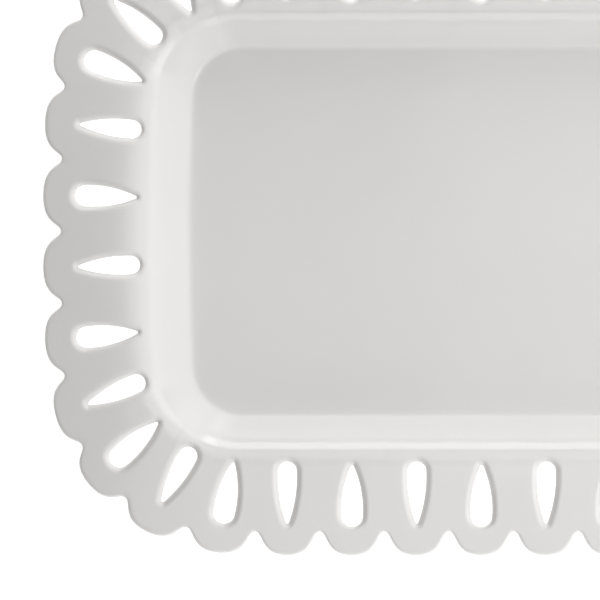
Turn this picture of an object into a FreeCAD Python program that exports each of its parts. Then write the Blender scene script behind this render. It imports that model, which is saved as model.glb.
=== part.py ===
import FreeCAD, Part
import math
import os

# A rectangular porcelain serving platter with a pierced, scalloped rim.
# Millimetres. +X runs along the platter's length, +Y across it and +Z up. The origin is on
# the surface that the platter stands on, under the middle of the platter.
# Two solids: the china body, and the foot ring that is stuck to its underside.

Vector = FreeCAD.Vector
UP = Vector(0, 0, 1)

# --- heights -----------------------------------------------------------------------------
FOOT_HEIGHT = 3.0
CLAY_THICKNESS = 5.0
WELL_DEPTH = 16.0              # from the well's floor to the highest line of the rim
WALL_THICKENING = 2.4          # extra height of clay in the middle of the sloping wall
CLEARANCE = 8.0                # how far cutting shapes stand clear of the clay

BASE_Z = FOOT_HEIGHT
FLOOR_Z = BASE_Z + CLAY_THICKNESS
RIM_Z = FLOOR_Z + WELL_DEPTH

# --- plan outlines -------------------------------------------------------------------------
# Each is half its length, half its width, its corner radius, and the radius of its two short
# sides, which bulge slightly. The long sides are straight.
FLOOR_EDGE = (123.7, 70.5, 18.0, 1300.0)
WALL_TOP = (146.2, 84.5, 36.0, 400.0)
NOTCH_LINE = (174.1, 115.5, 61.0, 1150.0)
RIM_LIMIT = (191.2, 132.5, 74.0, 900.0)    # well outside the scallops
AIM_LINE = (146.2, 84.5, 46.0, 400.0)      # the piercings point squarely at this one

# --- section -------------------------------------------------------------------------------
# Distance across the dish is counted as 0 at the edge of the well's floor, 1 at the top of
# the wall and 3 at the rim limit. The section turns at two soft knees.
ACROSS_AT_LIMIT = 3.0
KNEE_LOW = 0.07
KNEE_LOW_SOFTNESS = 0.06
KNEE_HIGH = 0.93
KNEE_HIGH_SOFTNESS = 0.30
RIM_FALL = 0.18                # slope of the falling rim, as a share of the wall's slope
SECTION_STEPS = (0.0, 0.08, 0.16, 0.5, 0.75, 0.88, 1.0, 1.22, 1.6, ACROSS_AT_LIMIT)

# --- scallops and piercings ----------------------------------------------------------------
END_STEPS = 3                       # lobes on half of a short side
CORNER_STEPS = 3                    # lobes round a corner
SIDE_STEPS = 4                      # lobes on half of a long side
END_PITCH = 27.8                    # between notches, along the notch line
CORNER_PITCH = 26.4
LOBE_HEIGHT_AT_ENDS = 7.1
LOBE_HEIGHT_AT_SIDES = 9.3
NOTCH_HANDLE = 3.2                  # control length of a scallop's curve at a notch
CROWN_HANDLE = 1.8                  # the crown's control point stops this short of the notch

HOLE_DEPTH_AT_ENDS = 17.7           # from a lobe's chord in to the middle of its piercing
HOLE_DEPTH_AT_SIDES = 14.3
STAGGER = 0.65                      # wide end outward: this much further out, else further in
HOLE_LENGTH = 23.9
HOLE_TIP_RADIUS = 0.6
OUTWARD_DROP = (4.1, 43.0)          # wide end's radius, and radius of the bulging sides
INWARD_DROP = (3.55, 52.0)

# --- foot ring -----------------------------------------------------------------------------
FOOT_LINE = (114.0, 61.5, 15.0, 1300.0)    # middle of the ring
FOOT_TOP_WIDTH = 6.4
FOOT_REST_WIDTH = 3.0
FOOT_EDGE_HEIGHT = 0.9              # height of the bevels beside the resting face


def circles_meet(centre_a, radius_a, centre_b, radius_b, side):
    """Point where two circles cross, on the left (side 1) or right (side -1) of a to b."""
    across = centre_b.sub(centre_a)
    gap = across.Length
    along = (radius_a ** 2 - radius_b ** 2 + gap ** 2) / (2 * gap)
    off = math.sqrt(radius_a ** 2 - along ** 2)
    unit = across.multiply(1 / gap)
    left = Vector(-unit.y, unit.x, 0)
    return centre_a + unit * along + left * (off * side)


class PlanOutline:
    """A rectangle with round corners whose short sides are shallow arcs."""

    def __init__(self, half_length, half_width, corner_radius, bow_radius):
        self.half_width = half_width
        self.corner_radius = corner_radius
        self.bow_radius = bow_radius
        reach = bow_radius - corner_radius
        corner_y = half_width - corner_radius
        self.bow_angle = math.asin(corner_y / reach)
        self.bow_centre = Vector(half_length - bow_radius, 0, 0)
        self.corner = Vector(self.bow_centre.x + reach * math.cos(self.bow_angle), corner_y, 0)
        self.bow_run = bow_radius * self.bow_angle
        self.corner_run = corner_radius * (math.pi / 2 - self.bow_angle)
        self.quarter = self.bow_run + self.corner_run + self.corner.x

    def quarter_point(self, run):
        """Point and outward angle at a distance round from the middle of the +X side."""
        if run <= self.bow_run:
            angle = run / self.bow_radius
            centre, radius = self.bow_centre, self.bow_radius
        elif run <= self.bow_run + self.corner_run:
            angle = self.bow_angle + (run - self.bow_run) / self.corner_radius
            centre, radius = self.corner, self.corner_radius
        else:
            return Vector(self.quarter - run, self.half_width, 0), math.pi / 2
        return centre + Vector(math.cos(angle), math.sin(angle), 0) * radius, angle

    def outward_at(self, point):
        """The outline's outward direction where it passes nearest to a point."""
        folded = Vector(abs(point.x), abs(point.y), 0)
        if folded.x <= self.corner.x:
            return Vector(0, math.copysign(1, point.y), 0)
        away = folded.sub(self.bow_centre)
        if math.atan2(away.y, away.x) > self.bow_angle:
            away = folded.sub(self.corner)
        away.multiply(1 / away.Length)
        return Vector(math.copysign(away.x, point.x), math.copysign(away.y, point.y), 0)

    def wire(self, z):
        """The whole outline at one height: four sides and four corners."""
        foot = self.bow_run
        knee = self.bow_run + self.corner_run
        marks = [self.quarter_point(run)[0] for run in (0, foot, (foot + knee) / 2, knee)]
        end_mid, low, mid, high = [Vector(p.x, p.y, z) for p in marks]
        flips = [(1, 1), (-1, 1), (-1, -1), (1, -1)]

        def flip(point, signs):
            return Vector(point.x * signs[0], point.y * signs[1], z)

        edges = []
        for index, signs in enumerate(flips):
            turning = signs[0] * signs[1]
            first, last = (low, high) if turning > 0 else (high, low)
            corner = Part.Arc(flip(first, signs), flip(mid, signs), flip(last, signs))
            edges.append(corner.toShape())
            after = flips[(index + 1) % 4]
            if turning > 0:
                edges.append(Part.LineSegment(flip(high, signs), flip(high, after)).toShape())
            else:
                bowed = Part.Arc(flip(low, signs), flip(end_mid, signs), flip(low, after))
                edges.append(bowed.toShape())
        return Part.Wire(edges)


def between(inner, outer, share):
    """The plan outline that lies a share of the way from one outline to another."""
    return PlanOutline(*[a + (b - a) * share for a, b in zip(inner, outer)])


def grown(outline, amount):
    """An outline moved outward by the same distance all round."""
    return [size + amount for size in outline]


def hinge(x, softness):
    """Height and slope of a line that is level for low x and climbs at 45 degrees for high x."""
    reach = math.hypot(x, softness)
    return (x + reach) / 2, (1 + x / reach) / 2


def section(across):
    """Height and slope of the dish across its wall, before it is scaled to the well's depth."""
    low_height, low_slope = hinge(across - KNEE_LOW, KNEE_LOW_SOFTNESS)
    high_height, high_slope = hinge(across - KNEE_HIGH, KNEE_HIGH_SOFTNESS)
    turn = 1 + RIM_FALL
    return low_height - turn * high_height, low_slope - turn * high_slope


def plan_at(across):
    """The plan outline at a distance across the dish."""
    if across <= 1:
        return between(FLOOR_EDGE, WALL_TOP, across)
    return between(WALL_TOP, RIM_LIMIT, (across - 1) / (ACROSS_AT_LIMIT - 1))


def dish(upper):
    """The space above one face of the dish: the upper face, or the one underneath."""
    rise = WELL_DEPTH / max(section(across)[0] for across in SECTION_STEPS)
    wires = []
    for across in SECTION_STEPS:
        height, slope = section(across)
        z = FLOOR_Z + rise * height
        if not upper:
            z -= CLAY_THICKNESS + WALL_THICKENING * max(slope, 0)
        if z <= BASE_Z:
            z = BASE_Z
            wires = []
        wires.append(plan_at(across).wire(z))
    wires.append(PlanOutline(*RIM_LIMIT).wire(RIM_Z + CLEARANCE))
    return Part.makeLoft(wires, True, True)


def notch_places():
    """Point and outward direction of each notch, once round from the middle of the +X end."""
    line = PlanOutline(*NOTCH_LINE)
    left_over = line.quarter - END_STEPS * END_PITCH - CORNER_STEPS * CORNER_PITCH
    side_pitch = left_over / SIDE_STEPS
    pitches = [END_PITCH] * END_STEPS + [CORNER_PITCH] * CORNER_STEPS + [side_pitch] * SIDE_STEPS
    runs = [sum(pitches[:k]) for k in range(len(pitches))]
    quarter = [line.quarter_point(run) for run in runs]
    top = line.quarter_point(line.quarter)
    right_half = quarter + [top] + [(Vector(-p.x, p.y, 0), math.pi - a) for p, a in quarter[:0:-1]]
    left_half = [(Vector(-p.x, -p.y, 0), a + math.pi) for p, a in right_half]
    return [(p, Vector(math.cos(a), math.sin(a), 0)) for p, a in right_half + left_half]


class Lobe:
    """One scallop of the rim, drawn on the chord between its two notches."""

    def __init__(self, start, end):
        self.start_point, start_out = start
        self.end_point, end_out = end
        chord = self.end_point.sub(self.start_point)
        self.along = chord.multiply(1 / chord.Length)
        self.middle = (self.start_point + self.end_point) * 0.5
        out = Vector(self.along.y, -self.along.x, 0)
        extra = (LOBE_HEIGHT_AT_ENDS - LOBE_HEIGHT_AT_SIDES) * abs(out.x)
        self.crown = self.middle + out * (LOBE_HEIGHT_AT_SIDES + extra)
        self.leaving = Vector(-start_out.y, start_out.x, 0)
        self.arriving = Vector(-end_out.y, end_out.x, 0)

    def flank(self, notch, into_lobe, along):
        """Half a scallop: level in the notch, steep, and level again on the crown."""
        reach = (self.crown.sub(notch)).dot(along) - CROWN_HANDLE
        curve = Part.BezierCurve()
        curve.setPoles([notch, notch + into_lobe * NOTCH_HANDLE,
                        self.crown - along * reach, self.crown])
        return curve.toShape()

    def edges(self):
        back = self.along * -1
        return [self.flank(self.start_point, self.leaving, self.along),
                self.flank(self.end_point, self.arriving * -1, back)]


def arc_about(centre, radius, start, end):
    """The shorter arc from start to end round a centre."""
    toward = start.sub(centre) + end.sub(centre)
    return Part.Arc(start, centre + toward.multiply(radius / toward.Length), end).toShape()


def scalloped_outline(lobes):
    """The rim's edge, lobe after lobe."""
    edges = [edge for lobe in lobes for edge in lobe.edges()]
    return Part.Wire(Part.sortEdges(edges)[0])


def teardrop(lobe, points_inward):
    """A piercing: a round wide end, a small round tip and gently bulging sides.

    It lies square to the aim line, on a line through the middle of the lobe's chord.
    """
    wide_radius, side_radius = OUTWARD_DROP if points_inward else INWARD_DROP
    outward = PlanOutline(*AIM_LINE).outward_at(lobe.middle)
    facing = outward * (1 if points_inward else -1)
    depth = HOLE_DEPTH_AT_SIDES + (HOLE_DEPTH_AT_ENDS - HOLE_DEPTH_AT_SIDES) * abs(outward.x)
    middle = lobe.middle - outward * depth + facing * STAGGER
    wide = middle + facing * (HOLE_LENGTH / 2 - wide_radius)
    tip = middle - facing * (HOLE_LENGTH / 2 - HOLE_TIP_RADIUS)
    edges = []
    ends = []
    for side in (1, -1):
        reach_wide = side_radius - wide_radius
        reach_tip = side_radius - HOLE_TIP_RADIUS
        centre = circles_meet(wide, reach_wide, tip, reach_tip, side)
        at_wide = centre + wide.sub(centre).multiply(side_radius / reach_wide)
        at_tip = centre + tip.sub(centre).multiply(side_radius / reach_tip)
        edges.append(arc_about(centre, side_radius, at_wide, at_tip))
        ends.append((at_wide, at_tip))
    edges.append(Part.Arc(ends[0][0], wide + facing * wide_radius, ends[1][0]).toShape())
    edges.append(Part.Arc(ends[0][1], tip - facing * HOLE_TIP_RADIUS, ends[1][1]).toShape())
    return Part.Wire(Part.sortEdges(edges)[0])


def upright(wire):
    """A tall prism with the given plan, for cutting straight through the rim."""
    face = Part.Face(wire)
    face.translate(UP * (-CLEARANCE))
    return face.extrude(UP * (RIM_Z + 3 * CLEARANCE))


def china_body():
    """The well, its sloping wall and the pierced rim, pressed from one sheet of clay."""
    places = notch_places()
    lobes = [Lobe(places[k], places[(k + 1) % len(places)]) for k in range(len(places))]
    blank = dish(False).cut(dish(True))
    trimmed = blank.common(upright(scalloped_outline(lobes)))
    drops = [upright(teardrop(lobe, k % 2 == 1)) for k, lobe in enumerate(lobes)]
    return trimmed.cut(drops)


def foot_ring():
    """The ring that the platter stands on, a strip of clay laid on the underside."""
    half_top = FOOT_TOP_WIDTH / 2
    half_rest = FOOT_REST_WIDTH / 2
    half_knee = half_top - (half_top - half_rest) / 2
    levels = [(0.0, half_rest), (FOOT_EDGE_HEIGHT, half_knee), (FOOT_HEIGHT, half_top)]
    shells = []
    for sign in (1, -1):
        wires = [PlanOutline(*grown(FOOT_LINE, half * sign)).wire(z) for z, half in levels]
        shells.append(Part.makeLoft(wires, True, True))
    return shells[0].cut(shells[1])


def keep(name, shape):
    solid = shape.Solids[0] if shape.ShapeType != "Solid" else shape
    box = solid.optimalBoundingBox()
    size = [round(length, 2) for length in (box.XLength, box.YLength, box.ZLength)]
    print(name, "solids", len(shape.Solids), "valid", shape.isValid(), "size", size,
          "z", round(box.ZMin, 3), round(box.ZMax, 3), "volume", round(solid.Volume))
    solid.exportStep(os.path.join("parts", name + ".step"))


os.makedirs("parts", exist_ok=True)
keep("china_body", china_body())
keep("foot_ring", foot_ring())
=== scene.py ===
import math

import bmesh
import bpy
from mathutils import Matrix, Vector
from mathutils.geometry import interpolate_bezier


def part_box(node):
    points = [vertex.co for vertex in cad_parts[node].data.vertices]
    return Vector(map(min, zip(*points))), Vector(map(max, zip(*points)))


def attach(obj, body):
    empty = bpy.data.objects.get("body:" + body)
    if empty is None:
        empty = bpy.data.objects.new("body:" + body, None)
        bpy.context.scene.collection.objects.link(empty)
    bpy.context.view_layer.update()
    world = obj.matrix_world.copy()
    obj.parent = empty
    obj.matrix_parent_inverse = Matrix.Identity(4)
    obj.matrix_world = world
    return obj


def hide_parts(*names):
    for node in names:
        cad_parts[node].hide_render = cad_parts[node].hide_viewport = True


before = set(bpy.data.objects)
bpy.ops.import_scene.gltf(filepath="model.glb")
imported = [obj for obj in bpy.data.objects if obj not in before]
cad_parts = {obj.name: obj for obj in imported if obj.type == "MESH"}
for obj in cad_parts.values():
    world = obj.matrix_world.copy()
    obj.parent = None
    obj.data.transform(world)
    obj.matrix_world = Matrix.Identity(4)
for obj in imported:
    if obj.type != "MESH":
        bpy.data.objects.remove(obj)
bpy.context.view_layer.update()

# %% [markdown]
# # A pierced porcelain platter
#
# The real platter is one sheet of white clay, pressed or cast over a mould, with a row of
# teardrops cut through its rim and a low ring of clay under its well. It was dipped in a clear
# glaze and fired. So there are only two pieces to make, and the work is in the shape of one
# thin sheet and in how a hard, glassy glaze takes the light.
#
# Everything is in metres, in the same place as the part that was just loaded. The first job is
# to note how big that part is, because the pretty version has to stay inside it.

MM = 0.001
body_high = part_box("china_body")[1]
foot_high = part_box("foot_ring")[1]

# %% [markdown]
# ## The plan of a platter
#
# Seen from above, the edge of the well's floor, the top of its wall and the line of the rim's
# notches are all the same kind of figure: a rectangle with round corners, whose short sides
# bulge a little. It could be drawn as a curve object, but the mesh has to slide from one such
# figure to the next, so a small class that can answer questions is handier. It can say which
# place on the outline is nearest to a point, and give back the point at any place.
#
# A place is a number from 0 to 3 in one quarter of the plan: 0 to 1 along half a short side,
# 1 to 2 round the corner, and 2 to 3 along half a long side. The signs say which quarter.

# %% A way to point
def heading(angle):
    """A step of length one in the direction of an angle."""
    return Vector((math.cos(angle), math.sin(angle)))


print("a quarter turn from +X points to", [round(part, 3) for part in heading(math.pi / 2)])

# %% The outline class
class Outline:
    """A rectangle with round corners, whose short sides are arcs of a large circle."""

    def __init__(self, half_length, half_width, corner_radius, bow_radius):
        self.sizes = (half_length, half_width, corner_radius, bow_radius)
        self.half_width = half_width
        self.radius = corner_radius
        self.bow_radius = bow_radius
        reach = bow_radius - corner_radius
        self.bow_angle = math.asin((half_width - corner_radius) / reach)
        self.bow_centre = Vector((half_length - bow_radius, 0))
        corner_x = self.bow_centre.x + reach * math.cos(self.bow_angle)
        self.corner = Vector((corner_x, half_width - corner_radius))

    def nearest(self, point):
        """The place nearest to a point, how far the point is outside, and the way out."""
        spot = Vector((abs(point.x), abs(point.y)))
        past_side = spot.y - self.half_width
        away = spot - self.bow_centre
        past_end = away.length - self.bow_radius
        angle = math.atan2(away.y, away.x)
        if spot.x > self.corner.x and angle > self.bow_angle:
            away = spot - self.corner
            turned = math.atan2(away.y, away.x) - self.bow_angle
            place = 1 + turned / (math.pi / 2 - self.bow_angle)
            return place, away.length - self.radius, away.normalized()
        if past_end > past_side:
            return angle / self.bow_angle, past_end, away.normalized()
        return 3 - spot.x / self.corner.x, past_side, Vector((0, 1))

    def point(self, place, signs=(1, 1)):
        """The outline's point at a place, in the quarter with those signs."""
        if place >= 2:
            spot = Vector(((3 - place) * self.corner.x, self.half_width))
        elif place <= 1:
            spot = self.bow_centre + self.bow_radius * heading(place * self.bow_angle)
        else:
            swing = self.bow_angle + (place - 1) * (math.pi / 2 - self.bow_angle)
            spot = self.corner + self.radius * heading(swing)
        return Vector((spot.x * signs[0], spot.y * signs[1]))


# %% [markdown]
# Four outlines carry the whole plan. The last one is not seen: the teardrops lie square to it,
# and its corners are a little rounder than the wall's. Any outline that is needed in between
# two of them is blended from their sizes.

# %% The four outlines
def between(inner, outer, share):
    """The outline that lies a share of the way from one outline to another."""
    return Outline(*[a + (b - a) * share for a, b in zip(inner.sizes, outer.sizes)])


floor_edge = Outline(123.7 * MM, 70.5 * MM, 18 * MM, 1300 * MM)
wall_top = Outline(146.2 * MM, 84.5 * MM, 36 * MM, 400 * MM)
notch_line = Outline(174.1 * MM, 115.5 * MM, 61 * MM, 1150 * MM)
aim_line = Outline(146.2 * MM, 84.5 * MM, 46 * MM, 400 * MM)
print("the scallops stand proud of the notches by, in mm:",
      round((body_high.x - notch_line.point(0).x) / MM, 1),
      round((body_high.y - notch_line.point(3).y) / MM, 1))

# %% [markdown]
# ## The section of the dish
#
# Cut through, the dish is a flat floor that turns up into a wall, and a wall that turns over
# into a rim that falls away a little. Both turns are soft, because clay is wiped with a wet
# sponge and glaze fills what is left. A drawn curve could give that section, but a formula
# keeps it the same all round while the wall gets wider at the ends. A hinge that is soft at
# its knee is level on one side and climbs on the other, so one hinge minus another is a ramp
# with two soft knees. Taking away a little more than was added makes the rim fall.
#
# How far up the ramp a point is comes from where it lies between two outlines: 0 on the
# floor's edge and 1 at the top of the wall. The same measure is carried on out over the rim,
# so the slope never jumps, because a glossy glaze would show the smallest jump as a line.

# %% The section
FLOOR_Z = 8 * MM
KNEE_LOW, KNEE_LOW_SOFT = 0.07, 0.06
KNEE_HIGH, KNEE_HIGH_SOFT = 0.93, 0.30
RIM_SLOPE = 0.17
CREST_SHARE = 0.761                 # height of the rim's crest, in heights of a sharp wall
WALL_RISE = (body_high.z - FLOOR_Z) / CREST_SHARE


def soft_hinge(x, softness):
    """Height and slope of a line that is level for low x and climbs at 45 degrees for high x."""
    reach = math.hypot(x, softness)
    return (x + reach) / 2, (1 + x / reach) / 2


def section(point):
    """Height of the dish's upper face above the table, and how steep it is there."""
    past_floor = floor_edge.nearest(point)[1]
    wall_width = past_floor - wall_top.nearest(point)[1]
    across = past_floor / wall_width
    turn = 1 + RIM_SLOPE * wall_width / WALL_RISE
    low = soft_hinge(across - KNEE_LOW, KNEE_LOW_SOFT)
    high = soft_hinge(across - KNEE_HIGH, KNEE_HIGH_SOFT)
    return FLOOR_Z + WALL_RISE * (low[0] - turn * high[0]), low[1] - turn * high[1]


def height(point):
    """Height of the dish's upper face above the table."""
    return section(point)[0]


# %% What the section gives
for across in (0.0, 0.5, 1.0, 1.25, 1.5, 2.0):
    at_end, at_side = [between(floor_edge, wall_top, across).point(place) for place in (0, 3)]
    print("at", across, "of the wall the dish is", round(height(at_end) / MM, 2), "mm high at the",
          "ends and", round(height(at_side) / MM, 2), "along the sides")

# %% [markdown]
# ## Where the scallops go
#
# The potter steps round the notch line with dividers. The short sides have one setting, the
# corners have a slightly smaller one, and the long sides share out evenly what is left. Working
# out one quarter is enough, because the other three are its mirror images.

# %% Notches
END_PITCH = 27.8 * MM
CORNER_PITCH = 26.4 * MM
LOBES_AT_END = 3                # in a quarter: half a short side
LOBES_AT_CORNER = 3
LOBES_AT_SIDE = 4
LOBES_IN_QUARTER = LOBES_AT_END + LOBES_AT_CORNER + LOBES_AT_SIDE


def quarter_notches(outline):
    """Places of the notches in one quarter, both middles included."""
    bow_run = outline.bow_radius * outline.bow_angle
    corner_run = outline.radius * (math.pi / 2 - outline.bow_angle)
    left_over = bow_run + corner_run + outline.corner.x
    left_over -= LOBES_AT_END * END_PITCH + LOBES_AT_CORNER * CORNER_PITCH
    side_pitch = left_over / LOBES_AT_SIDE
    print("pitch along the long sides in mm:", round(side_pitch / MM, 2))
    pitches = [END_PITCH] * LOBES_AT_END + [CORNER_PITCH] * LOBES_AT_CORNER
    pitches += [side_pitch] * LOBES_AT_SIDE
    run, places = 0, [0.0]
    for pitch in pitches:
        run += pitch
        if run <= bow_run:
            places.append(run / bow_run)
        elif run <= bow_run + corner_run:
            places.append(1 + (run - bow_run) / corner_run)
        else:
            places.append(2 + (run - bow_run - corner_run) / outline.corner.x)
    return places


notches = quarter_notches(notch_line)
print("notches in a quarter:", len(notches))

# %% [markdown]
# ## One scallop and its teardrop
#
# Each scallop is a short panel of the rim with a hole in it. A hole could be cut with a
# boolean, but that leaves long thin triangles that a glossy glaze shows up as ripples. Here
# every panel is three rings of points with the same number of points in each: the edge of the
# teardrop, a collar a little way outside it, and the panel's own border. Bridging ring to ring
# gives neat four-sided faces that follow the hole.
#
# A teardrop is a wide arc, two long shallow arcs down its sides and a tight arc at its tip,
# each tangent to the next. Arcs have one great merit here: the same arcs with larger radii make
# a collar that is the same distance outside the hole all the way round. A side arc curves the
# same way as the two end arcs and holds them inside itself, so its centre is as far from each
# end's centre as its radius is larger. That fixes where it is.

# %% A teardrop
WIDE_STEPS = 9
SIDE_STEPS = 14
TIP_STEPS = 8
DROP_LENGTH = 23.9 * MM
TIP_RADIUS = 0.6 * MM
OUTWARD_DROP = (4.1 * MM, 43 * MM)      # radius of the wide end, and of the sides
INWARD_DROP = (3.55 * MM, 52 * MM)


def arc_points(centre, radius, start, end, steps):
    """Points along an arc from one angle towards another, without the last one."""
    return [centre + radius * heading(start + (end - start) * step / steps)
            for step in range(steps)]


def half_drop(wide_radius, side_radius, growth):
    """Half a teardrop as (across, along) pairs, from its wide end to its tip."""
    wide_y = DROP_LENGTH / 2 - wide_radius
    tip_y = TIP_RADIUS - DROP_LENGTH / 2
    wide_reach, tip_reach = side_radius - wide_radius, side_radius - TIP_RADIUS
    side_y = (tip_reach ** 2 - wide_reach ** 2 + wide_y ** 2 - tip_y ** 2) / (2 * (wide_y - tip_y))
    side_x = -math.sqrt(wide_reach ** 2 - (side_y - wide_y) ** 2)
    wide_turn = math.atan2(wide_y - side_y, -side_x)
    tip_turn = math.atan2(tip_y - side_y, -side_x)
    points = arc_points(Vector((0, wide_y)), wide_radius + growth,
                        math.pi / 2, wide_turn, WIDE_STEPS)
    points += arc_points(Vector((side_x, side_y)), side_radius + growth,
                         wide_turn, tip_turn, SIDE_STEPS)
    points += arc_points(Vector((0, tip_y)), TIP_RADIUS + growth,
                         tip_turn, -math.pi / 2, TIP_STEPS)
    return points + [Vector((0, tip_y - TIP_RADIUS - growth))]


def drop_ring(middle, outward, widens_outward, growth):
    """Points of a teardrop, once round from its outer end."""
    half = half_drop(*(OUTWARD_DROP if widens_outward else INWARD_DROP), growth)
    if not widens_outward:
        half = [Vector((spot.x, -spot.y)) for spot in reversed(half)]
    sideways = Vector((-outward.y, outward.x))
    left = [middle + outward * spot.y + sideways * spot.x for spot in half]
    right = [middle + outward * spot.y - sideways * spot.x for spot in half]
    return left[:-1] + right[:0:-1]


print("points round a teardrop:", len(drop_ring(Vector((0, 0)), Vector((1, 0)), True, 0)))

# %% [markdown]
# Half a scallop is a Bezier curve: level in the notch, steep on the flank, and level again at
# the crown. A Bezier curve is drawn by its two ends and two handles, and a long handle holds
# the curve to its own direction for longer. `interpolate_bezier` gives points along it.

# %% A scallop
BORDER_STEPS = (11, 13, 7)      # along half a scallop, down a side, and along half the wall end
LOBE_AT_ENDS = 7.1 * MM         # from the line between two notches out to the crown
LOBE_AT_SIDES = 9.3 * MM
NOTCH_HANDLE = 3.2 * MM
CROWN_HANDLE = 1.8 * MM         # how far the crown's handle stops short of the notch


def flank(notch, notch_way, crown, crown_way):
    """Half a scallop, from its crown down to a notch."""
    reach = (crown - notch).dot(crown_way) - CROWN_HANDLE
    return interpolate_bezier(crown, crown - crown_way * reach,
                              notch + notch_way * NOTCH_HANDLE, notch, BORDER_STEPS[0] + 1)


def straight(start, end, steps):
    """Points along a straight line, without the last one."""
    return [start.lerp(end, step / steps) for step in range(steps)]


print("points round a panel:", 2 * sum(BORDER_STEPS))

# %% [markdown]
# A panel starts as three circles of points, made by the circle operator, that are then laid on
# their curves. Neighbouring panels share the points of their common border, so once all forty
# are there, welding doubles joins them into one rim.

# %% Rings of points
def ring_of(mesh, spots):
    """A closed ring of points, as its edges in the order in which they were made."""
    made = bmesh.ops.create_circle(mesh, segments=len(spots), radius=1)["verts"]
    for vert, spot in zip(made, spots):
        vert.co = (spot.x, spot.y, 0)
    return list(dict.fromkeys(edge for vert in made for edge in vert.link_edges))


# %% [markdown]
# A panel's border runs along its scallop, down a straight side, along the seam where the rim
# will be joined to the wall, and up the other side. The seam lies part of the way down the
# wall, where the section is nearly straight, so a change in the mesh there can't be seen.

# %% The border of a panel
SEAM_SHARE = 0.62               # how far up the wall the seam is
STEPS_TO_SEAM = 30              # each one comes closer, and this many leave no error
seam_line = between(floor_edge, wall_top, SEAM_SHARE)


def seam_place(notch):
    """The place on the seam that is straight in from a notch, square to the aim line."""
    spot, way = notch, aim_line.nearest(notch)[2]
    for _ in range(STEPS_TO_SEAM):
        spot = spot - way * seam_line.nearest(spot)[1]
    return seam_line.nearest(spot)[0]


def panel_border(start, end):
    """Points round a panel from its crown: the scallop, a side, the wall end, a side."""
    outer, side, inner = BORDER_STEPS
    chord_way = (end - start).normalized()
    chord_out = Vector((chord_way.y, -chord_way.x))
    lobe_height = LOBE_AT_SIDES + (LOBE_AT_ENDS - LOBE_AT_SIDES) * chord_out.x
    crown = (start + end) / 2 + chord_out * lobe_height
    ways = [notch_line.nearest(spot)[2] for spot in (start, end)]
    falling = flank(end, Vector((ways[1].y, -ways[1].x)), crown, -chord_way)
    rising = flank(start, Vector((-ways[0].y, ways[0].x)), crown, chord_way)[::-1]
    first, last = seam_place(start), seam_place(end)
    wall_end = [seam_line.point(last + (first - last) * step / (2 * inner))
                for step in range(2 * inner + 1)]
    return (falling[:-1] + straight(end, wall_end[0], side) + wall_end[:-1]
            + straight(wall_end[-1], start, side) + rising[:-1])


# %% One panel
DEPTH_AT_ENDS = 17.7 * MM       # from a scallop's chord in to the middle of its teardrop
DEPTH_AT_SIDES = 14.3 * MM
STAGGER = 0.65 * MM
COLLAR = 2.9 * MM
PANEL_CUTS = 4                  # rings added between the collar and the border
dish = bmesh.new()


def add_panel(start_place, end_place, signs, widens_outward):
    """One panel of the rim, in the quarter with those signs, with its teardrop in it."""
    start, end = notch_line.point(start_place), notch_line.point(end_place)
    middle = (start + end) / 2
    outward = aim_line.nearest(middle)[2]
    depth = DEPTH_AT_SIDES + (DEPTH_AT_ENDS - DEPTH_AT_SIDES) * outward.x
    middle -= outward * (depth - STAGGER if widens_outward else depth + STAGGER)
    outlines = [drop_ring(middle, outward, widens_outward, growth) for growth in (0, COLLAR)]
    outlines.append(panel_border(start, end))
    hole, collar, border = [ring_of(dish, [spot * Vector(signs) for spot in outline])
                            for outline in outlines]
    bmesh.ops.bridge_loops(dish, edges=hole + collar)
    rungs = bmesh.ops.bridge_loops(dish, edges=collar + border)["edges"]
    bmesh.ops.subdivide_edges(dish, edges=rungs, cuts=PANEL_CUTS, use_grid_fill=True)


# %% All forty panels
QUARTERS = ((1, 1), (-1, 1), (-1, -1), (1, -1))     # signs of x and y, once round
WELD = 0.02 * MM

for quarter, signs in enumerate(QUARTERS):
    for index in range(LOBES_IN_QUARTER):
        step_round = index if signs[0] * signs[1] > 0 else LOBES_IN_QUARTER - 1 - index
        number = quarter * LOBES_IN_QUARTER + index
        add_panel(notches[step_round], notches[step_round + 1], signs, number % 2 == 1)
bmesh.ops.remove_doubles(dish, verts=dish.verts, dist=WELD)
for vert in dish.verts:
    vert.co.z = height(vert.co.xy)
print("rim:", len(dish.verts), "points,", len(dish.faces), "faces")

# %% [markdown]
# ## The wall and the well
#
# The inside edge of the rim is now one ring of points, a bit over half way up the wall. It is
# extruded, and each new ring is slid in to the next outline and dropped to the height that the
# section gives there. Rings are close together where the section bends and far apart where it
# is straight. The last ring lies on the flat of the well, and one face fills it.

# %% Rings down the wall
last_ring_line = Outline(104 * MM, 52 * MM, 10 * MM, 1300 * MM)
WALL_SHARES = (0.53, 0.44, 0.35, 0.27, 0.20, 0.15, 0.11, 0.08, 0.05, 0.02, 0.0)
FLOOR_SHARES = (0.94, 0.85, 0.70, 0.45, 0.0)
TOUCH = 0.05 * MM               # a point this near to the seam is on it


def quarter_signs(point):
    """The signs of the quarter that a point is in."""
    return math.copysign(1, point.x), math.copysign(1, point.y)


def inner_ring():
    """The open edges on the seam line."""
    open_edges = [edge for edge in dish.edges if edge.is_boundary]
    return [edge for edge in open_edges
            if all(abs(seam_line.nearest(vert.co.xy)[1]) < TOUCH for vert in edge.verts)]


def slide_ring(mesh, ring, old_line, new_line, level):
    """Extrude a ring of edges from one outline to another, to the height that level gives."""
    made = bmesh.ops.extrude_edge_only(mesh, edges=ring)["geom"]
    for vert in (item for item in made if isinstance(item, bmesh.types.BMVert)):
        place = old_line.nearest(vert.co.xy)[0]
        spot = new_line.point(place, quarter_signs(vert.co))
        vert.co = (spot.x, spot.y, level(spot))
    return [item for item in made if isinstance(item, bmesh.types.BMEdge)]


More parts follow.
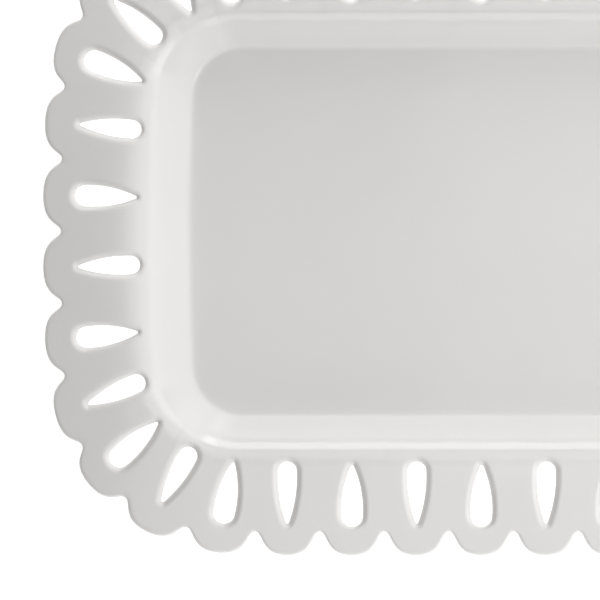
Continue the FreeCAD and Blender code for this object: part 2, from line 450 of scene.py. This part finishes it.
# %% The wall and the well
ring, line = inner_ring(), seam_line
lines_down = [between(floor_edge, wall_top, share) for share in WALL_SHARES]
lines_down += [between(last_ring_line, floor_edge, share) for share in FLOOR_SHARES]
for next_line in lines_down:
    ring, line = slide_ring(dish, ring, line, next_line, height), next_line
bmesh.ops.contextual_create(dish, geom=ring)
print("ring of", len(ring), "edges; open edges left:",
      sum(edge.is_boundary for edge in dish.edges))

# %% [markdown]
# ## Thickness
#
# The sheet now gets its underside. A Solidify modifier would push it out square to the surface,
# but then the holes would lean wherever the sheet slopes, and these were cut straight down. So
# the whole sheet is extruded instead, keeping the first copy, and that copy is lowered: by the
# thickness of the clay, and by a little more where the wall is steep, because a sheet lowered
# straight down is thinner there. Nothing goes lower than the top of the foot ring, so under the
# well the underside is flat.

# %% The underside
CLAY = FLOOR_Z - foot_high.z
WALL_THICKENING = 2.4 * MM

bmesh.ops.recalc_face_normals(dish, faces=dish.faces)
if sum(face.normal.z for face in dish.faces) < 0:
    bmesh.ops.reverse_faces(dish, faces=dish.faces)
upper_faces = list(dish.faces)
bmesh.ops.extrude_face_region(dish, geom=upper_faces, use_keep_orig=True)
for vert in {vert for face in upper_faces for vert in face.verts}:
    top, steepness = section(vert.co.xy)
    vert.co.z = max(top - CLAY - WALL_THICKENING * max(steepness, 0), foot_high.z)
bmesh.ops.recalc_face_normals(dish, faces=dish.faces)
print("closed:", not any(edge.is_boundary for edge in dish.edges),
      "- lowest point in mm:", round(min(vert.co.z for vert in dish.verts) / MM, 2))

# %% [markdown]
# ## Soft edges
#
# Every hole was wiped with a wet sponge, and glaze runs thick on what is left, so no edge is
# sharp. The teardrops' edges are rounder than the rim's own, because the cutter drags the clay.
# Rounding is a Bevel modifier that goes by weight: full weight round a teardrop and less round
# the scallops. The edges that need it are those where an upright face meets a sheet face.

# %% Weights
SCALLOP_WEIGHT = 0.45
NEARLY_UPRIGHT = 0.001          # of an upright face, whose normal has no height to speak of
HOLE_INSET = 3 * MM             # every teardrop is at least this far inside the notch line

weights = dish.edges.layers.float.new("bevel_weight_edge")
for edge in dish.edges:
    upright = [abs(face.normal.z) < NEARLY_UPRIGHT for face in edge.link_faces]
    if any(upright) and not all(upright):
        middle = (edge.verts[0].co + edge.verts[1].co) / 2
        in_hole = notch_line.nearest(middle.xy)[1] < -HOLE_INSET
        edge[weights] = 1.0 if in_hole else SCALLOP_WEIGHT
for face in dish.faces:
    face.smooth = True
print("edges to round:", sum(edge[weights] > 0 for edge in dish.edges))

# %% The platter
HOLE_ROUNDING = 2.3 * MM
ROUNDING_STEPS = 5
ROUNDING_PROFILE = 0.45         # 0.5 is a round edge, and less is a slightly flatter one


def make_object(name, mesh_data):
    """A new object at the origin that holds a finished bmesh."""
    mesh = bpy.data.meshes.new(name)
    mesh_data.to_mesh(mesh)
    mesh_data.free()
    made = bpy.data.objects.new(name, mesh)
    bpy.context.scene.collection.objects.link(made)
    return made


platter = make_object("glazed_platter", dish)
bevel = platter.modifiers.new("soft edges", "BEVEL")
bevel.limit_method = "WEIGHT"
bevel.width = HOLE_ROUNDING
bevel.segments = ROUNDING_STEPS
bevel.profile = ROUNDING_PROFILE
bevel.use_clamp_overlap = False
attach(platter, "root")
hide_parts("china_body")
evaluated = platter.evaluated_get(bpy.context.evaluated_depsgraph_get())
print("platter:", sum(len(p.vertices) - 2 for p in evaluated.data.polygons), "triangles")

# %% [markdown]
# ## The foot
#
# The platter stands on a low ring of clay, which is rolled out, stuck on under the well and
# trimmed. Where it meets the underside the glaze fills the corner, and its lower edges are
# rounded by the sponge. It could be a curve with a bevel profile, but then its corners would
# pinch. So one ring of points is laid on the outline of the foot's outer edge and extruded all
# round the section: the glaze-filled corner, the side, the rounded edge, the resting face, and
# the same again up the inside. The last ring is bridged to the first.

# %% The foot's section
FOOT_HALF_TOP = 3.2 * MM        # half the width at the underside, with the filled corners
FOOT_HALF_WIDTH = 2.4 * MM      # half the width lower down
FOOT_ROUNDING = 0.8 * MM
ARC_STEPS = 5


def foot_half_section():
    """Half the section as (outward, up) pairs, from the underside down to the resting face."""
    filled = FOOT_HALF_TOP - FOOT_HALF_WIDTH
    pairs = []
    for step in range(ARC_STEPS + 1):
        turn = heading(math.pi / 2 + step / ARC_STEPS * math.pi / 2)
        pairs.append((FOOT_HALF_TOP + filled * turn.x, foot_high.z - filled + filled * turn.y))
    for step in range(ARC_STEPS + 1):
        turn = heading(-step / ARC_STEPS * math.pi / 2)
        pairs.append((FOOT_HALF_WIDTH - FOOT_ROUNDING + FOOT_ROUNDING * turn.x,
                      FOOT_ROUNDING + FOOT_ROUNDING * turn.y))
    return pairs


outer_half = foot_half_section()
section_pairs = outer_half + [(-outward, up) for outward, up in reversed(outer_half)]
print("points round the foot's section:", len(section_pairs))

# %% The foot's first ring
FOOT_STEPS = (6, 14, 10)        # along half a short side, round a corner, along half a long side
FOOT_CORNER = 15 * MM
FOOT_BOW = 1300 * MM
foot_half_length = foot_high.x - FOOT_HALF_TOP
foot_half_width = foot_high.y - FOOT_HALF_TOP


def foot_line(outward):
    """The foot's middle line, moved outward by the same distance all round."""
    return Outline(foot_half_length + outward, foot_half_width + outward,
                   FOOT_CORNER + outward, FOOT_BOW + outward)


foot = bmesh.new()
first_line = foot_line(section_pairs[0][0])
quarter_spots = [first_line.point(part + step / steps)
                 for part, steps in enumerate(FOOT_STEPS) for step in range(steps)]
mirrored_spots = [Vector((-spot.x, spot.y))
                  for spot in [first_line.point(3)] + quarter_spots[:0:-1]]
half_spots = quarter_spots + mirrored_spots
first_ring = ring_of(foot, half_spots + [-spot for spot in half_spots])
print("points round the foot:", len(first_ring))

# %% The foot's other rings
for vert in foot.verts:
    vert.co.z = section_pairs[0][1]
ring, line = first_ring, first_line
for outward, up in section_pairs[1:]:
    next_line = foot_line(outward)
    ring, line = slide_ring(foot, ring, line, next_line, lambda spot: up), next_line
bmesh.ops.bridge_loops(foot, edges=first_ring + ring)
bmesh.ops.recalc_face_normals(foot, faces=foot.faces)
for face in foot.faces:
    face.smooth = True
print("foot:", len(foot.faces), "faces, closed:",
      not any(edge.is_boundary for edge in foot.edges))
foot_ring = make_object("ground_foot", foot)
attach(foot_ring, "root")
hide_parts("foot_ring")

# %% [markdown]
# ## What a glaze looks like up close
#
# Both finishes are the same glaze, so its effects are node groups that each material can use
# with its own numbers. Three things give a glaze away:
#
# - its surface is never quite flat. It ran while it was molten, which leaves slow waves a few
#   centimetres long, and it froze with a fine orange peel;
# - the clay under it is not one white: the fire leaves it faintly cloudy, with a few tiny
#   specks of iron;
# - it wears where knives and spoons touch it.
#
# The groups only give out masks and heights. The shader itself stays in each material.

# %% Helpers for nodes
def new_group(name, inputs, output):
    """A node group with its inputs, as (name, kind, value), and one output of numbers."""
    group = bpy.data.node_groups.new(name, "ShaderNodeTree")
    for socket_name, kind, value in inputs:
        socket = group.interface.new_socket(socket_name, in_out="INPUT", socket_type=kind)
        if value is not None:
            socket.default_value = value
    group.interface.new_socket(output, in_out="OUTPUT", socket_type="NodeSocketFloat")
    return group, group.nodes.new("NodeGroupInput"), group.nodes.new("NodeGroupOutput")


def add(tree, kind, **settings):
    """A new shader node with its settings and unlinked socket values."""
    node = tree.nodes.new("ShaderNode" + kind)
    for name, value in settings.items():
        if name in node.bl_rna.properties:
            setattr(node, name, value)
        else:
            node.inputs[name.replace("_", " ").title()].default_value = value
    return node


def combine(tree, operation, first, second):
    """A Math node. Each side is a socket or a number."""
    node = add(tree, "Math", operation=operation)
    for socket, value in zip(node.inputs, (first, second)):
        if isinstance(value, bpy.types.NodeSocket):
            tree.links.new(value, socket)
        else:
            socket.default_value = value
    return node.outputs[0]


def remap(tree, value, low, high, to_low=0.0, to_high=1.0):
    """Turn low to high into to_low to to_high, smoothly and without overshoot."""
    node = add(tree, "MapRange", interpolation_type="SMOOTHSTEP")
    tree.links.new(value, node.inputs["Value"])
    for name, number in (("From Min", low), ("From Max", high),
                         ("To Min", to_low), ("To Max", to_high)):
        node.inputs[name].default_value = number
    return node.outputs["Result"]


# %% Group: glaze surface
SLOW_WAVES = 38.0               # waves in a metre
ORANGE_PEEL = 750.0


def glaze_surface_group():
    """Height of the frozen glaze: slow waves with a fine orange peel on top."""
    group, given, result = new_group("glaze surface", [
        ("Vector", "NodeSocketVector", None),
        ("Peel", "NodeSocketFloat", 0.04),
    ], "Height")
    waves = add(group, "TexNoise", scale=SLOW_WAVES, detail=1.0, roughness=0.4)
    peel = add(group, "TexNoise", scale=ORANGE_PEEL, detail=2.0, roughness=0.5)
    for texture in (waves, peel):
        group.links.new(given.outputs["Vector"], texture.inputs["Vector"])
    fine = combine(group, "MULTIPLY", peel.outputs["Fac"], given.outputs["Peel"])
    group.links.new(combine(group, "ADD", waves.outputs["Fac"], fine), result.inputs["Height"])
    return group


glaze_surface = glaze_surface_group()
print("sockets of", glaze_surface.name + ":", glaze_surface.interface.items_tree.keys())

# %% Group: iron specks
SPECK_CELLS = 85.0              # cells in a metre, of which only a share hold a speck
SPECK_CORE, SPECK_EDGE = 0.008, 0.024       # in widths of a cell


def iron_specks_group():
    """A mask of tiny specks: one in every few cells of a Voronoi texture."""
    group, given, result = new_group("iron specks", [
        ("Vector", "NodeSocketVector", None),
        ("Share", "NodeSocketFloat", 0.25),
    ], "Mask")
    cells = add(group, "TexVoronoi", scale=SPECK_CELLS)
    group.links.new(given.outputs["Vector"], cells.inputs["Vector"])
    dots = remap(group, cells.outputs["Distance"], SPECK_CORE, SPECK_EDGE, 1.0, 0.0)
    lottery = add(group, "SeparateColor")
    group.links.new(cells.outputs["Color"], lottery.inputs["Color"])
    chosen = combine(group, "LESS_THAN", lottery.outputs["Red"], given.outputs["Share"])
    group.links.new(combine(group, "MULTIPLY", dots, chosen), result.inputs["Mask"])
    return group


iron_specks = iron_specks_group()
print("sockets of", iron_specks.name + ":", iron_specks.interface.items_tree.keys())

# %% Group: fine scratches
HAIRS = 260.0                   # lines in a metre, across their own direction
HAIR_STARTS, HAIR_FULL = 0.60, 0.68         # only the noise's highest parts are scratches
PATCHES = 14.0
PATCH_STARTS, PATCH_FULL = 0.42, 0.62


def scratches_group():
    """A mask of hair-fine scratches that run roughly one way, set by the mapping outside."""
    group, given, result = new_group("fine scratches", [
        ("Vector", "NodeSocketVector", None),
        ("Amount", "NodeSocketFloat", 0.5),
    ], "Mask")
    lines = add(group, "TexNoise", scale=HAIRS, detail=3.0, roughness=0.6, distortion=0.15)
    patches = add(group, "TexNoise", scale=PATCHES, detail=1.0)
    for texture in (lines, patches):
        group.links.new(given.outputs["Vector"], texture.inputs["Vector"])
    hairs = remap(group, lines.outputs["Fac"], HAIR_STARTS, HAIR_FULL)
    where = remap(group, patches.outputs["Fac"], PATCH_STARTS, PATCH_FULL)
    both = combine(group, "MULTIPLY", hairs, where)
    group.links.new(combine(group, "MULTIPLY", both, given.outputs["Amount"]),
                    result.inputs["Mask"])
    return group


fine_scratches = scratches_group()
print("sockets of", fine_scratches.name + ":", fine_scratches.interface.items_tree.keys())

# %% [markdown]
# ## The white glaze
#
# The body is a slightly warm, faintly cloudy white under a hard clear gloss. Its roughness is
# low but uneven, and in the well, where the food is cut and served, crossed hair-fine scratches
# dull it a little. The height of a point says whether it is down there. The underside is lower
# still, and gets the same scratches from shelves and tables.

# %% Helpers for materials
COLOUR_SOCKETS_IN = (6, 7)      # a Mix node has sockets for every kind, and these are for colour
COLOUR_SOCKET_OUT = 2


def new_material(name):
    """A material with its tree, its shader and its Object coordinates."""
    material = bpy.data.materials.new(name)
    material.use_nodes = True
    tree = material.node_tree
    return material, tree, tree.nodes["Principled BSDF"], add(tree, "TexCoord").outputs["Object"]


def use_group(tree, group, vector, **values):
    """Place a group, join its coordinates and set its values."""
    node = add(tree, "Group", node_tree=group)
    tree.links.new(vector, node.inputs["Vector"])
    for name, value in values.items():
        node.inputs[name].default_value = value
    return node.outputs[0]


def mix_colours(tree, mask, first, second):
    """Mix two colours by a mask. Each colour is a socket or a value."""
    node = add(tree, "Mix", data_type="RGBA")
    tree.links.new(mask, node.inputs["Factor"])
    for number, colour in zip(COLOUR_SOCKETS_IN, (first, second)):
        if isinstance(colour, bpy.types.NodeSocket):
            tree.links.new(colour, node.inputs[number])
        else:
            node.inputs[number].default_value = colour
    return node.outputs[COLOUR_SOCKET_OUT]


# %% What the glaze shows
CHINA_WHITE = (0.802, 0.788, 0.774, 1)
CLOUDED_WHITE = (0.788, 0.774, 0.759, 1)
IRON = (0.42, 0.36, 0.29, 1)
CLOUDS = 16.0                   # clouds in a metre
CLOUD_STARTS, CLOUD_FULL = 0.35, 0.7
SPECKED_CELLS = 0.2             # the share of cells that hold a speck
SPECK_STRENGTH = 0.5


def glazed_clay(tree, place):
    """Colour of the clay as it shows through clear glaze."""
    clouds = add(tree, "TexNoise", scale=CLOUDS, detail=2.0)
    tree.links.new(place, clouds.inputs["Vector"])
    cloudy = remap(tree, clouds.outputs["Fac"], CLOUD_STARTS, CLOUD_FULL)
    white = mix_colours(tree, cloudy, CHINA_WHITE, CLOUDED_WHITE)
    specks = use_group(tree, iron_specks, place, Share=SPECKED_CELLS)
    faint = combine(tree, "MULTIPLY", specks, SPECK_STRENGTH)
    return mix_colours(tree, faint, white, IRON)


# %% How the glaze shines
GLOSSIEST, DULLEST = 0.09, 0.14
GLOSS_PATCHES = 55.0            # patches in a metre
GLOSS_STARTS, GLOSS_ENDS = 0.3, 0.75        # nearly all of a noise lies between these
SQUEEZE = 0.03                  # of a pattern along its lines


def uneven_gloss(tree, place):
    """Roughness of the glaze, a little different from place to place."""
    patches = add(tree, "TexNoise", scale=GLOSS_PATCHES, detail=2.0)
    tree.links.new(place, patches.inputs["Vector"])
    return remap(tree, patches.outputs["Fac"], GLOSS_STARTS, GLOSS_ENDS, GLOSSIEST, DULLEST)


def turned(tree, place, degrees):
    """Coordinates turned about +Z and squeezed one way, so a pattern on them becomes lines."""
    mapping = add(tree, "Mapping")
    mapping.inputs["Rotation"].default_value = (0, 0, math.radians(degrees))
    mapping.inputs["Scale"].default_value = (SQUEEZE, 1.0, 1.0)
    tree.links.new(place, mapping.inputs["Vector"])
    return mapping.outputs["Vector"]


# %% White glaze
GLAZE_IOR = 1.5
GLAZE_WAVE = 0.04 * MM          # height of the slow waves
PEEL_SHARE = 0.05               # height of the orange peel, as a share of the waves
KNIFE_MARKS = ((24, 0.09), (-41, 0.07))     # direction in degrees, and how much they dull
WEAR_FULL, WEAR_ENDS = FLOOR_Z + 0.3 * MM, FLOOR_Z + 1.5 * MM

glaze, tree, china, place = new_material("clear glaze on white china")
tree.links.new(glazed_clay(tree, place), china.inputs["Base Color"])
axes = add(tree, "SeparateXYZ")
tree.links.new(place, axes.inputs["Vector"])
in_well = remap(tree, axes.outputs["Z"], WEAR_FULL, WEAR_ENDS, 1.0, 0.0)
crossed = [use_group(tree, fine_scratches, turned(tree, place, degrees), Amount=dulling)
           for degrees, dulling in KNIFE_MARKS]
worn = combine(tree, "MULTIPLY", combine(tree, "ADD", *crossed), in_well)
tree.links.new(combine(tree, "ADD", uneven_gloss(tree, place), worn), china.inputs["Roughness"])
bump = add(tree, "Bump", strength=1.0, distance=GLAZE_WAVE)
tree.links.new(use_group(tree, glaze_surface, place, Peel=PEEL_SHARE), bump.inputs["Height"])
tree.links.new(bump.outputs["Normal"], china.inputs["Normal"])
china.inputs["IOR"].default_value = GLAZE_IOR
platter.data.materials.append(glaze)
print(glaze.name, "has", len(tree.nodes), "nodes")

# %% [markdown]
# ## The foot's finish
#
# The potter wipes the glaze off the resting edge, so that it does not stick to the kiln shelf,
# and grinds it flat after the firing. So the foot is glazed down its sides and bare underneath:
# matt, slightly warm bisque with a sandy grain and the marks of the grinding wheel. The line
# between the two wobbles, because the glaze was wiped off by hand.

# %% Where the foot is bare
GLAZE_LINE = 0.55 * MM          # height of the line above the table
HALF_LINE = 0.06 * MM           # half the width over which glaze turns to bisque
WOBBLE = 0.5 * MM
WOBBLES = 90.0                  # wobbles in a metre
NOISE_MIDDLE = 0.5


def bare_mask(tree, place):
    """1 on the bare resting edge and 0 on the glaze, with an uneven line between."""
    axes = add(tree, "SeparateXYZ")
    tree.links.new(place, axes.inputs["Vector"])
    wander = add(tree, "TexNoise", scale=WOBBLES, detail=3.0)
    tree.links.new(place, wander.inputs["Vector"])
    off_middle = combine(tree, "SUBTRACT", wander.outputs["Fac"], NOISE_MIDDLE)
    lift = combine(tree, "MULTIPLY", off_middle, WOBBLE)
    level = combine(tree, "ADD", axes.outputs["Z"], lift)
    return remap(tree, level, GLAZE_LINE - HALF_LINE, GLAZE_LINE + HALF_LINE, 1.0, 0.0)


# %% Ground foot
BISQUE = (0.70, 0.655, 0.585, 1)
BISQUE_DARK = (0.60, 0.55, 0.475, 1)
BISQUE_ROUGHNESS = 0.78
SAND = 1500.0                   # grains in a metre
SAND_STARTS, SAND_FULL = 0.35, 0.7
GRINDING = (90, 0.8)            # direction of the wheel's marks in degrees, and their strength

finish, tree, ware, place = new_material("ground foot")
bare = bare_mask(tree, place)
grain = add(tree, "TexNoise", scale=SAND, detail=3.0, roughness=0.65)
tree.links.new(place, grain.inputs["Vector"])
ground = use_group(tree, fine_scratches, turned(tree, place, GRINDING[0]), Amount=GRINDING[1])
sandy = remap(tree, grain.outputs["Fac"], SAND_STARTS, SAND_FULL)
bisque = mix_colours(tree, sandy, BISQUE, BISQUE_DARK)
bisque = mix_colours(tree, ground, bisque, BISQUE)
tree.links.new(mix_colours(tree, bare, glazed_clay(tree, place), bisque), ware.inputs["Base Color"])
rough = combine(tree, "MULTIPLY", bare, BISQUE_ROUGHNESS)
tree.links.new(combine(tree, "MAXIMUM", uneven_gloss(tree, place), rough), ware.inputs["Roughness"])
coarse = combine(tree, "MULTIPLY", combine(tree, "ADD", grain.outputs["Fac"], ground), bare)
smooth = use_group(tree, glaze_surface, place, Peel=PEEL_SHARE)
bump = add(tree, "Bump", strength=1.0, distance=GLAZE_WAVE)
tree.links.new(combine(tree, "ADD", smooth, coarse), bump.inputs["Height"])
tree.links.new(bump.outputs["Normal"], ware.inputs["Normal"])
ware.inputs["IOR"].default_value = GLAZE_IOR
foot_ring.data.materials.append(finish)
print("materials:", [material.name for material in (glaze, finish)])

# %% [markdown]
# ## Floor, light and camera
#
# The floor is white paper that glows a little, so it stays clean white to the edges and throws
# light up through the piercings.

# %% Floor
FLOOR_HALF = 3
PAPER_WHITE = (0.9, 0.9, 0.9, 1)
PAPER_ROUGHNESS = 0.9
GLOW_WHITE = (1, 1, 1, 1)
GLOW = 0.5

stage = bmesh.new()
bmesh.ops.create_grid(stage, x_segments=1, y_segments=1, size=FLOOR_HALF)
floor = make_object("floor", stage)
paper = bpy.data.materials.new("white paper")
paper.use_nodes = True
sheet = paper.node_tree.nodes["Principled BSDF"]
sheet.inputs["Base Color"].default_value = PAPER_WHITE
sheet.inputs["Roughness"].default_value = PAPER_ROUGHNESS
sheet.inputs["Emission Color"].default_value = GLOW_WHITE
sheet.inputs["Emission Strength"].default_value = GLOW
floor.data.materials.append(paper)
print("floor is", 2 * FLOOR_HALF, "m wide")

# %% [markdown]
# White china shows its shape only by small steps of grey, so the light has to come from the
# sides, low and soft. Far softboxes, each given by its direction from the platter, counted
# from +X towards +Y, and its height in the sky, make the even part. The strongest are low and
# look along the short way of the platter, which lights up both long walls. A few small ones
# stand close by on the right, so the light falls off towards the left and the rim there turns
# darker.

# %% Light
FAR, FAR_SIDE = 1.6, 1.1        # distance of a box, and the length of its side
CLOSE, CLOSE_SIDE = 0.75, 0.35
# Each box is its direction and its height in degrees, and its strength in watts.
FAR_BOXES = ((0, 10, 3.6), (0, 35, 2.7), (0, 70, 1.7), (45, 35, 2.8), (-45, 35, 1.7),
             (60, 14, 3.8), (90, 14, 12.0), (120, 14, 3.8), (90, 65, 3.5),
             (-60, 14, 2.2), (-90, 14, 7.4), (-120, 14, 2.2), (-90, 65, 4.0), (180, 10, 1.2))
CLOSE_BOXES = ((30, 35, 0.36), (-30, 35, 1.02), (-30, 55, 0.34))

scene = bpy.context.scene
scene.view_settings.view_transform = "Standard"
world = bpy.data.worlds.new("dark studio")
scene.world = world
world.use_nodes = True
world.node_tree.nodes["Background"].inputs["Strength"].default_value = 0.0


def softbox(turn_deg, rise_deg, distance, side, watts):
    """A square light that looks at the platter from a direction and a height."""
    turn, rise = math.radians(turn_deg), math.radians(rise_deg)
    way = Vector((math.cos(turn) * math.cos(rise), math.sin(turn) * math.cos(rise), math.sin(rise)))
    lamp = bpy.data.lights.new(f"softbox at {turn_deg}, {rise_deg} up", "AREA")
    lamp.size, lamp.energy = side, watts
    made = bpy.data.objects.new(lamp.name, lamp)
    scene.collection.objects.link(made)
    made.location = way * distance
    made.rotation_euler = (-way).to_track_quat("-Z", "Y").to_euler()


for turn_deg, rise_deg, watts in FAR_BOXES:
    softbox(turn_deg, rise_deg, FAR, FAR_SIDE, watts)
for turn_deg, rise_deg, watts in CLOSE_BOXES:
    softbox(turn_deg, rise_deg, CLOSE, CLOSE_SIDE, watts)

# %% [markdown]
# The camera looks straight down on one end of the platter, from so high up that the walls
# hardly lean. Its lens is worked out from how much of the rim the frame has to take in.

# %% Camera
FRAME_WIDTH = 230 * MM          # at the height of the rim
CAMERA_SPOT = (-82.2 * MM, -26.5 * MM, 1.6)
SENSOR_WIDTH = 36               # the sensor and the lens are in millimetres
camera = bpy.data.objects.new("camera", bpy.data.cameras.new("camera"))
scene.collection.objects.link(camera)
scene.camera = camera
camera.data.sensor_width = SENSOR_WIDTH
camera.data.lens = SENSOR_WIDTH * (CAMERA_SPOT[2] - body_high.z) / FRAME_WIDTH
camera.location = CAMERA_SPOT
print("lens in mm:", round(camera.data.lens, 1))
